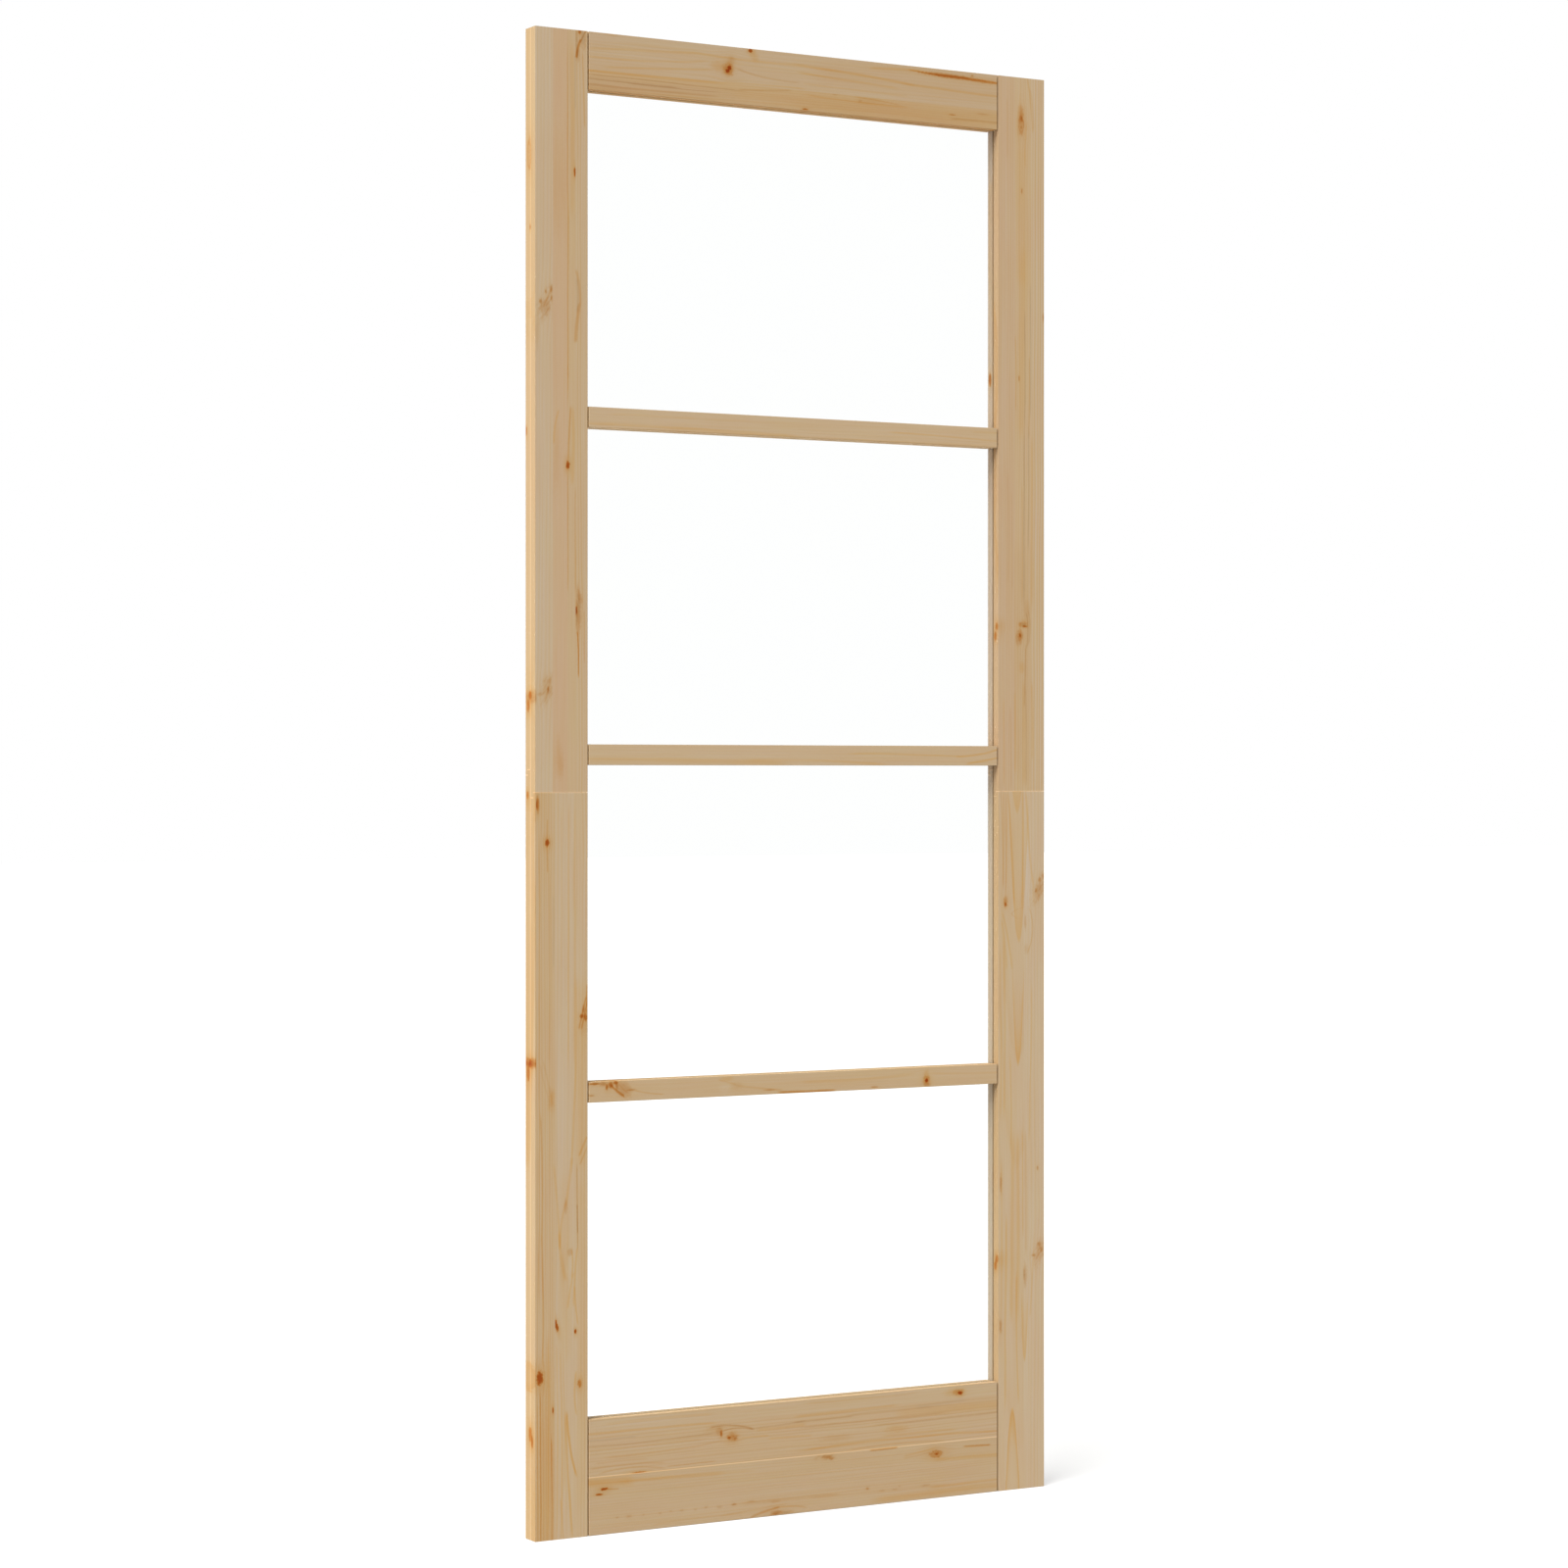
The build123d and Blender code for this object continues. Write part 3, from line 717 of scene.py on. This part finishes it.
BOARDS["bottom_rail_upper_board"] = Board(
    Strip(62, 0.22, 0.22, 4.4, (150, 12), (6, 0), 8, shade=0.038, grey=0.03, blush=0.01),
    Strip(81, 0.16, 0.2, 4.4, (170, 12), (4, 0), 10, shade=0.042),
    CHAR(37, 309, 1.6, 2.6),
    OCHRE(38.5, 314, 5, 7),
    FLECK(35, 319, 2.4, 3),
    TINGE(35, 313, 8, 12),
    RUST(48, 292, 5, 5),
    CHAR(44, 296, 4, 2),
    DARK(70, 701, 2.2, 3.6),
    OCHRE(71, 697, 4, 8),
    STAIN(72, 688, 4, 14),
    STAIN(26, 590, 5, 18),
    BLUSH(22, 487, 4, 22),
    ORANGE(0.5, 163, 1.4, 9),
    TINGE(50, 283, 6, 12),
    Vein((60.8, 60), (61.2, 180), (60, 300), 2.4, 0.36),
    Vein((51.8, 60), (51.6, 110), (51.8, 165), 1.7, 0, 0, 0.11),
    Vein((43.6, 60), (43.2, 190), (46, 296), 1.7, 0.05, 0.26, 0.08),
    Vein((38, 60), (38, 180), (39, 280), 2.2, 0.05, 0.1),
    Vein((53, 274), (55, 300), (45.5, 352), 1.9, 0, 0.5, 0.06),
    Vein((47, 296), (49.5, 313), (44.5, 352), 1.6, 0, 0.45, 0.06),
    Vein((26.5, 100), (27, 200), (35, 305), 2, 0.1, 0.18),
    Vein((19, 90), (20, 130), (18, 180), 2.2, 0.05, 0.12),
    Vein((11, 80), (13.8, 150), (10.5, 210), 2.2, 0.05, 0.2),
    Vein((3, 95), (8.8, 150), (2, 210), 1.9, 0.1, 0.18),
    Vein((5.6, 205), (5.4, 240), (5.8, 290), 1.2, 0.15, 0.34),
    Vein((46, 335), (48, 380), (51, 440), 1.8, 0.05, 0.16, 0.06),
    Vein((44, 350), (44.5, 390), (46, 440), 3.8, 0.25),
    Vein((35, 326), (35.5, 350), (34.5, 376), 2, 0.28),
    Vein((30, 370), (30, 400), (29, 450), 2.6, 0.2),
    Vein((58, 410), (59, 500), (61, 600), 2.8, 0.28),
    Vein((50, 410), (50, 450), (51, 520), 1.8, 0.05, 0.18, 0.07),
    Vein((53, 500), (53.5, 570), (54, 660), 2.2, 0, 0.14, 0.04),
    Vein((54.5, 620), (57, 670), (60, 716), 4.5, -0.08, 0.06, 0.05),
    Vein((42, 415), (42, 560), (43, 690), 2, 0.1, 0.2, 0.04),
    Vein((48.5, 580), (48.5, 690), (47, 810), 9.5, 0.24),
    Vein((34, 540), (34.5, 660), (36.5, 790), 1.9, 0.05, 0.14, 0.06),
    Vein((7.5, 415), (12, 585), (8, 790), 2.4, 0.38, 0.06),
    Vein((17, 560), (18, 620), (16, 700), 2, 0.22, 0.06),
    Vein((1.5, 500), (4.5, 590), (1.5, 680), 1.8, 0.1, 0.18),
    Vein((72, 100), (74.5, 180), (73, 290), 2.6, 0.16),
    Vein((76, 425), (75, 520), (77, 640), 2.4, 0.12, 0.08),
    front_edge=(0.2, -0.16), back_edge=(0.1, -0.15), side=1,
)
BOARDS["bottom_rail_lower_board"] = Board(
    Strip(50, 0.2, 0.18, 4, (150, 10), (5, 0), 7, shade=0.054, blush=0.005),
    Strip(81, 0.22, 0.18, 4.2, (-80, 14), (-4, 0), 7, shade=0.054),
    DARK(63.4, 108, 1.7, 5.5),
    PIN(56.5, 100, 1.3, 5),
    DOT(21.5, 128, 1.2, 2.4),
    DOT(21.5, 147, 2, 4),
    DOT(21.5, 170, 1.2, 2),
    DOT(21, 197, 1.2, 2.4),
    DOT(22.5, 214, 1.2, 2),
    DOT(22, 232, 1.4, 3),
    DOT(21, 254, 1.2, 2),
    DOT(22.5, 271, 1.6, 3),
    DOT(21, 293, 1.8, 4),
    FLECK(22.5, 317, 1.5, 4),
    DOT(24, 345, 1.6, 6),
    DOT(20, 385, 1.6, 8),
    FLECK(4.6, 388, 2.6, 9),
    FLECK(2.2, 384, 1.6, 7),
    ASH(3, 404, 2.2, 9),
    FEATHER(76, 469, 4, 14),
    FLECK(77, 470, 2, 8),
    FLECK(74, 478, 2, 4),
    EYE(64.5, 658, 5, 10),
    OCHRE(64.5, 658, 4, 7),
    CHAR(64.5, 660, 1.4, 2.4),
    FLECK(24.5, 540, 2, 2.4),
    DOT(19, 565, 1.2, 5),
    DOT(19, 587, 1.2, 4),
    DOT(20, 640, 1.6, 8),
    DOT(23, 595, 1, 2),
    Vein((74, 20), (73.5, 95), (71.5, 160), 11, 0.3),
    Vein((75, 60), (72, 170), (68.5, 310), 4.5, 0.22),
    Vein((72, 120), (70, 210), (68, 360), 3, 0.14),
    Vein((63, 110), (62, 120), (61.5, 132), 1.3, 0.2, 0.4),
    Vein((22.5, 318), (22, 400), (21, 500), 3.4, 0, 0.24),
    Vein((20, 430), (18.5, 560), (19, 690), 2.4, 0, 0.1),
    Vein((0.5, 342), (7.5, 366), (11.6, 394), 2.6, 0.05, 0.5),
    Vein((11.5, 380), (11.8, 400), (6.5, 440), 1.8, 0.1, 0.26),
    Vein((8, 290), (11.5, 345), (16, 410), 1.9, 0.05, 0.14),
    Vein((6, 180), (8, 260), (9, 340), 1.9, 0.05, 0.14),
    Vein((79.8, 542), (79.4, 566), (79.6, 594), 2, 0.1, 0.8),
    Vein((66, 600), (69.5, 630), (74, 660), 2.2, 0.28),
    Vein((63, 600), (65.5, 630), (69, 652), 1.7, 0.1, 0.18),
    Vein((71.2, 704), (70.6, 728), (70, 756), 1.8, 0.2, 0.65),
    Vein((56.5, 650), (55, 710), (54, 800), 4, 0.3),
    Vein((6, 540), (8.5, 650), (9.5, 810), 6.5, 0.28),
    Vein((16, 640), (17.5, 710), (17.5, 800), 3.2, 0.3),
)

# The stile splice seen from the edge, measured from its middle, and the seam of the bottom rail
SPLICE_LEVEL = 1050.0
SPLICE_STEP = 12.0
SPLICE_HOOK_STEP = 19.5
SPLICE_HOOK_DEPTH = 8.7
RAIL_SEAMS = {"bottom_rail_lower_board": 81.0, "bottom_rail_upper_board": 0.0}
# How far from a seam its painted highlight fades in
SEAM_FADE = (1.2, 0.5)

# What fibres, tone, end grain and bends add to a point, with painted shade on arrises and a painted
# highlight on seams
FIBRE_RESIN = 0.4
TONE_RESIN = 0.3
END_GRAIN_RESIN = 0.35
# Painted shade that darkens the arrises
PAINTED_ARRIS_SHADE = 0.2
# A negative shade: the painted highlight on seams
PAINTED_SEAM_HIGHLIGHT = -0.3
BEND_BLUSH = 0.06
VEIN_BEND = 3.0
VEIN_VARY = 1.2

# How far a face has to turn to count as an edge or end, and how the planed wood takes light
TURN = (0.75, 0.95)
PINE_ROUGHNESS = 0.62
PINE_SPECULAR = 0.12
PINE_RELIEF = 0.0004
MILLIMETRES = 1000.0


def new_material(name):
    """An empty material and the graph of its tree."""
    material = bpy.data.materials.new(name)
    material.use_nodes = True
    material.node_tree.nodes.clear()
    return material, Graph(material.node_tree)


def add_group(graph, group, values):
    """A node of a group with its inputs set, and its outputs by name."""
    made = graph.node("ShaderNodeGroup", {"node_tree": group})
    for name, value in values.items():
        graph.put(made.inputs[name], value if isinstance(value, Value) else float(value))
    return {socket.name: graph.out(made, socket.name) for socket in made.outputs}


def choose(sides, values):
    """The value of the strip that a point lies in: sides are 1 past each end of a strip but the last."""
    picked = values[0]
    for side, before, after in zip(sides, values, values[1:]):
        picked = side * (after - before) + picked
    return picked


def strip_mask(sides, strips, across):
    """1 on the strip that the given place across the board lies in, and 0 on the others."""
    number = sum(across > strip.end for strip in strips[:-1])
    mask = 1.0
    if number > 0:
        mask = sides[number - 1] * mask
    if number < len(sides):
        mask = (1.0 - sides[number]) * mask
    return mask


def vein_inputs(vein):
    """The parabola through the three points of a vein, over the share of its length."""
    (across_0, along_0), (across_1, along_1), (across_2, along_2) = vein.start, vein.middle, vein.end
    length = along_2 - along_0
    half_way = (along_1 - along_0) / length
    rise = across_2 - across_0
    curve = (across_1 - across_0 - rise * half_way) / (half_way * half_way - half_way)
    return {
        "start": along_0, "length": length, "base": across_0, "slope": rise - curve,
        "curve": curve, "width": vein.width,
    }


def splice_distance(graph, through, along):
    """How far a point of a stile is from the line of its splice, which is the same turned half round."""
    depth = graph.math("ABSOLUTE", through)
    height = (along - SPLICE_LEVEL) * graph.math("SIGN", through)
    nearest = depth
    for level, start, end in (
        (SPLICE_HOOK_STEP, 0.0, SPLICE_HOOK_DEPTH),
        (SPLICE_STEP, SPLICE_HOOK_DEPTH, 2 * SPLICE_HOOK_DEPTH),
    ):
        beyond = graph.math("ABSOLUTE", depth - (start + end) / 2) - (end - start) / 2
        above = graph.math("ABSOLUTE", height - level)
        nearest = graph.math("MINIMUM", nearest, graph.math("MAXIMUM", above, beyond))
    return nearest


class Pine:
    """The pine of one board: where a point lies in it, and how much of each substance it holds there."""

    def __init__(self, node_name, number):
        self.node_name = node_name
        self.number = number
        self.board = BOARDS[node_name]
        self.upright = "stile" in node_name
        self.material, self.graph = new_material("pine_" + node_name)
        self.held = {"resin": 0.0, "gold": 0.0, "brown": 0.0, "shade": 0.0}
        self.push = 0.0

    def hold(self, substance, where, amount=1.0):
        """Adds an amount of a substance at the points where the given value is 1."""
        if amount:
            self.held[substance] = where * amount + self.held[substance]

    def of_strip(self, value_of):
        """A value that each strip has its own of."""
        return choose(self.sides, [float(value_of(strip)) for strip in self.board.strips])

    def find_place(self):
        """Where a point lies across, through and along the board, and past which strips."""
        graph = self.graph
        low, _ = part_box(self.node_name)
        point = graph.out(graph.node("ShaderNodeTexCoord"), "Object")
        split = graph.node("ShaderNodeSeparateXYZ", Vector=point)
        x, y, z = (graph.out(split, axis) * MILLIMETRES for axis in "XYZ")
        self.across = x - low.x * MILLIMETRES if self.upright else z - low.z * MILLIMETRES
        self.through = y
        self.along = z if self.upright else x
        self.place = {"across": self.across, "through": self.through, "along": self.along}
        ends = [strip.end for strip in self.board.strips[:-1]]
        self.sides = [graph.math("GREATER_THAN", self.across, end) for end in ends]

    def find_noise(self):
        """The noise that frays knots, cracks them, strokes the feathered ones and bends the lines."""
        graph = self.graph
        across, through, along = self.place.values()
        number = self.number
        wobbly = graph.vector(across * 0.40, through * 0.12 + number * 7.3, along * 0.24)
        self.wobble_across, self.wobble_along, _ = graph.parts(graph.noise(wobbly, detail=3.0))
        cracks = graph.vector(across * 0.17 + along * 0.06, through * 0.1 + number * 3.7, along * 0.08)
        crack_height = graph.out(graph.noise(cracks, detail=3.0, roughness=0.6), "Fac") - 0.5
        self.ridge = graph.ramp(graph.math("ABSOLUTE", crack_height), 0.045, 0.0)
        slant = across * 0.25 - along * 0.17
        slanting = graph.vector(slant, through * 0.1 + number * 5.3, across * 0.034 + along * 0.05)
        self.strokes = graph.ramp(graph.out(graph.noise(slanting, detail=2.0), "Fac"), 0.46, 0.62)
        bending = graph.noise(graph.vector(across * 0.05, number * 2.9, along * 0.011), detail=2.0)
        self.bend, self.vary, _ = graph.parts(bending)

    def add_knots(self):
        """Knots and flecks, and how far they push the grain aside."""
        for knot in self.board.knots:
            look = knot.kind._asdict()
            gold = look.pop("gold")
            found = add_group(self.graph, knot_group, {
                **self.place, "wobble across": self.wobble_across, "wobble along": self.wobble_along,
                "ridge": self.strokes if knot.kind is FEATHER else self.ridge,
                "mask": strip_mask(self.sides, self.board.strips, knot.across) if knot.cut else 1.0,
                "at across": knot.across, "at through": knot.through, "at along": knot.along,
                "half across": knot.half_across, "half through": knot.half_through,
                "half along": knot.half_along, "lean": knot.lean, **look,
            })
            self.push = found["push"] + self.push
            self.hold("resin", found["halo"])
            self.hold("gold", found["body"], gold)
            self.hold("brown", found["body"], 1.0 - gold)
            self.hold("shade", found["soot"])

    def add_lines(self):
        """Veins and flames, which stray with the bends of the grain."""
        spot = {"across": self.across + self.bend * VEIN_BEND + self.wobble_across, "along": self.along}
        vary = self.vary * VEIN_VARY + 1.0
        for vein in self.board.veins:
            line = add_group(self.graph, vein_group, {**spot, "vary": vary, **vein_inputs(vein)})["line"]
            self.hold("gold", line, vein.gold)
            self.hold("brown", line, vein.brown)
            self.hold("shade", line, vein.grey)
        for flame in self.board.flames:
            shape = flame._asdict()
            amount = shape.pop("gold")
            self.hold("gold", add_group(self.graph, flame_group, {**spot, **shape})["line"], amount)

    def add_grain(self):
        """The growth rings, fibres and tone of the strips."""
        seeds = [self.number * 11.7 + 3.1 * i for i in range(len(self.board.strips))]
        self.grain = add_group(self.graph, grain_group, {
            **self.place, "across": self.across - self.push, "seed": choose(self.sides, seeds),
            "pith across": self.of_strip(lambda strip: strip.pith[0]),
            "pith through": self.of_strip(lambda strip: strip.pith[1]),
            "tilt across": self.of_strip(lambda strip: strip.tilt[0] / 1000),
            "tilt through": self.of_strip(lambda strip: strip.tilt[1] / 1000),
            "spacing": self.of_strip(lambda strip: strip.spacing),
            "waver": self.of_strip(lambda strip: strip.waver),
        })
        self.hold("resin", self.grain["line"], self.of_strip(lambda strip: strip.rings))
        self.hold("resin", self.grain["fibre"], FIBRE_RESIN)
        self.hold("resin", self.grain["tone"], TONE_RESIN)
        self.hold("shade", self.grain["line"], self.of_strip(lambda strip: strip.grey))

    def add_edges(self):
        """An edge's resin with painted light and shade, the end grain, and painted shade on arrises."""
        graph = self.graph
        board = self.board
        normal = graph.out(graph.node("ShaderNodeNewGeometry"), "Normal")
        facing = graph.node("ShaderNodeSeparateXYZ", Vector=normal)
        turned = graph.out(facing, "X" if self.upright else "Z")
        endwise = graph.math("ABSOLUTE", graph.out(facing, "Z" if self.upright else "X"))
        behind = graph.ramp(self.through, -1.0, 1.0)
        # Painted light and shade on one edge: lighter, darker or warmer for how the lamps fall there,
        # greyer behind the glass
        on_edge = graph.ramp(turned * board.side, *TURN)
        for substance, front, back in zip(("resin", "shade"), board.front_edge, board.back_edge):
            self.hold(substance, on_edge, behind * (back - front) + front)
        self.hold("resin", graph.ramp(endwise, *TURN), END_GRAIN_RESIN)
        # Painted shade: a dark line along each rounded arris, where the front turns into an edge
        arris = graph.math("ABSOLUTE", turned * graph.out(facing, "Y")) * 2.0
        self.hold("shade", arris, PAINTED_ARRIS_SHADE)

    def add_seam(self):
        """A painted highlight on a stile's splice, or on the seam between the bottom rail's boards."""
        if self.upright:
            distance = splice_distance(self.graph, self.through, self.along)
        elif self.node_name in RAIL_SEAMS:
            distance = self.graph.math("ABSOLUTE", self.across - RAIL_SEAMS[self.node_name])
        else:
            return
        # Painted highlight: a pale line where an eased edge of the joint would catch the light
        self.hold("shade", self.graph.ramp(distance, *SEAM_FADE), PAINTED_SEAM_HIGHLIGHT)

    def colour(self):
        """Pale pine, darkened by what it holds."""
        graph = self.graph
        held = self.held
        resin = held["resin"] + self.of_strip(lambda strip: strip.tone)
        shade = held["shade"] + self.of_strip(lambda strip: strip.shade)
        blush = self.of_strip(lambda strip: strip.blush) + self.bend * BEND_BLUSH
        channels = []
        for pale, resin_fade, gold_fade, brown_fade, tint in zip(
            PALE_PINE, RESIN_FADES, GOLD_FADES, BROWN_FADES, (0.0, blush, 0.0)
        ):
            depth = resin * resin_fade + held["gold"] * gold_fade + held["brown"] * brown_fade
            depth = depth + shade + tint
            channels.append(graph.math("EXPONENT", depth * -1.0) * pale)
        mixed = graph.node("ShaderNodeCombineColor", Red=channels[0], Green=channels[1], Blue=channels[2])
        return graph.out(mixed, "Color")

    def make(self):
        """Adds all that the board holds and gives the finished material."""
        self.find_place()
        self.find_noise()
        self.add_knots()
        self.add_lines()
        self.add_grain()
        self.add_edges()
        self.add_seam()
        graph = self.graph
        line = self.grain["line"]
        fibre = self.grain["fibre"]
        bump = graph.node("ShaderNodeBump", Strength=0.2, Distance=PINE_RELIEF, Height=line * 0.5 + fibre)
        shader = graph.node(
            "ShaderNodeBsdfPrincipled",
            Base_Color=self.colour(),
            Roughness=PINE_ROUGHNESS - line * 0.1 + fibre * 0.1,
            Normal=graph.out(bump, "Normal"),
        )
        shader.inputs["Specular IOR Level"].default_value = PINE_SPECULAR
        graph.finish(shader.outputs["BSDF"])
        return self.material


# Clear glass: its own tint, and the light that a pane lets by for each kind of ray
GLASS_TINT = (0.99, 0.997, 0.994, 1.0)
GLASS_PASSES = {
    "Is Diffuse Ray": (0.96, 0.97, 0.965, 1.0),
    "Is Shadow Ray": (0.82, 0.83, 0.825, 1.0),
}


def make_glass():
    """Clear float glass that lets the studio light through to the wood behind it."""
    material, graph = new_material("clear_glass")
    glass = graph.node("ShaderNodeBsdfPrincipled", Base_Color=GLASS_TINT, Roughness=0.0, IOR=1.5)
    glass.inputs["Transmission Weight"].default_value = 1.0
    path = graph.node("ShaderNodeLightPath")
    mixed = glass.outputs["BSDF"]
    for ray, passed in GLASS_PASSES.items():
        clear = graph.node("ShaderNodeBsdfTransparent", Color=passed)
        choice = graph.node("ShaderNodeMixShader")
        graph.put(choice.inputs[0], graph.out(path, ray))
        graph.tree.links.new(mixed, choice.inputs[1])
        graph.tree.links.new(clear.outputs["BSDF"], choice.inputs[2])
        mixed = choice.outputs["Shader"]
    graph.finish(mixed)
    return material


def dress(node_name, material):
    """Gives a node of the frame its only material."""
    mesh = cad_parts[node_name].data
    mesh.materials.clear()
    mesh.materials.append(material)


for number, name in enumerate(sorted(BOARDS), start=1):
    dress(name, Pine(name, number).make())
glass_material = make_glass()
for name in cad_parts:
    if name.endswith("glass_pane"):
        dress(name, glass_material)


def seen_directly(graph):
    """1 for rays that come from the camera, straight or by way of gloss and glass, and 0 for light."""
    path = graph.node("ShaderNodeLightPath")
    seen = graph.math("MAXIMUM", graph.out(path, "Is Camera Ray"), graph.out(path, "Is Glossy Ray"))
    return graph.math("MAXIMUM", seen, graph.out(path, "Is Transmission Ray"))


# Floor and world: white to the eye, softer as a source of light
FLOOR_HALF = 40.0
FLOOR_DROP = 0.0005
FLOOR_GREY = (0.55, 0.55, 0.55, 1.0)
FLOOR_LIFT = 0.5
AMBIENT = 0.505
WHITE = (1.0, 1.0, 1.0, 1.0)


def add_floor():
    """A wide pale floor just under the door, which keeps its shadow."""
    mesh = bpy.data.meshes.new("floor")
    corners = [
        (-FLOOR_HALF, -FLOOR_HALF, 0.0),
        (FLOOR_HALF, -FLOOR_HALF, 0.0),
        (FLOOR_HALF, FLOOR_HALF, 0.0),
        (-FLOOR_HALF, FLOOR_HALF, 0.0),
    ]
    mesh.from_pydata(corners, [], [(0, 1, 2, 3)])
    floor = bpy.data.objects.new("floor", mesh)
    floor.location.z = cad_low.z - FLOOR_DROP
    scene.collection.objects.link(floor)
    material, graph = new_material("pale_floor")
    ground = graph.node("ShaderNodeBsdfDiffuse", Color=FLOOR_GREY)
    lift = graph.node("ShaderNodeEmission", Color=WHITE, Strength=seen_directly(graph) * FLOOR_LIFT)
    both = graph.node("ShaderNodeAddShader")
    graph.tree.links.new(ground.outputs["BSDF"], both.inputs[0])
    graph.tree.links.new(lift.outputs["Emission"], both.inputs[1])
    graph.finish(both.outputs["Shader"])
    mesh.materials.append(material)


def add_world():
    """A white surround that gives an even light from all sides."""
    world = bpy.data.worlds.new("studio")
    scene.world = world
    world.use_nodes = True
    world.node_tree.nodes.clear()
    graph = Graph(world.node_tree)
    strength = seen_directly(graph) * (1.0 - AMBIENT) + AMBIENT
    sky = graph.node("ShaderNodeBackground", Color=WHITE, Strength=strength)
    graph.finish(sky.outputs["Background"], "ShaderNodeOutputWorld")


LAMP_COLOUR = (1.0, 0.985, 0.95)


def add_light(name, energy, angle, direction):
    """A soft distant light: its strength, the angle it spans and the way it shines."""
    light = bpy.data.lights.new(name, "SUN")
    light.energy = energy
    light.angle = math.radians(angle)
    light.color = LAMP_COLOUR
    lamp = bpy.data.objects.new(name, light)
    lamp.rotation_mode = "QUATERNION"
    lamp.rotation_quaternion = Vector(direction).to_track_quat("-Z", "Y")
    scene.collection.objects.link(lamp)


# The key light is high on the left in front of the door, and a level fill lights its back
add_floor()
add_world()
add_light("key_from_the_left", 3.52, 36.0, (0.775, 0.375, -0.9))
add_light("fill_from_behind", 0.9, 10.0, (0.0, -1.0, 0.0))

# Camera, as the photograph was taken
camera_data = bpy.data.cameras.new("camera")
camera_data.sensor_width = 36.0
camera_data.lens = 90.67
camera_data.shift_y = -0.0059
camera = bpy.data.objects.new("camera", camera_data)
camera.location = (-2.4712, -4.9061, 1.0625)
camera.rotation_euler = (math.radians(90), 0.0, math.radians(-30.409))
scene.collection.objects.link(camera)
scene.camera = camera

scene.view_settings.view_transform = "Standard"
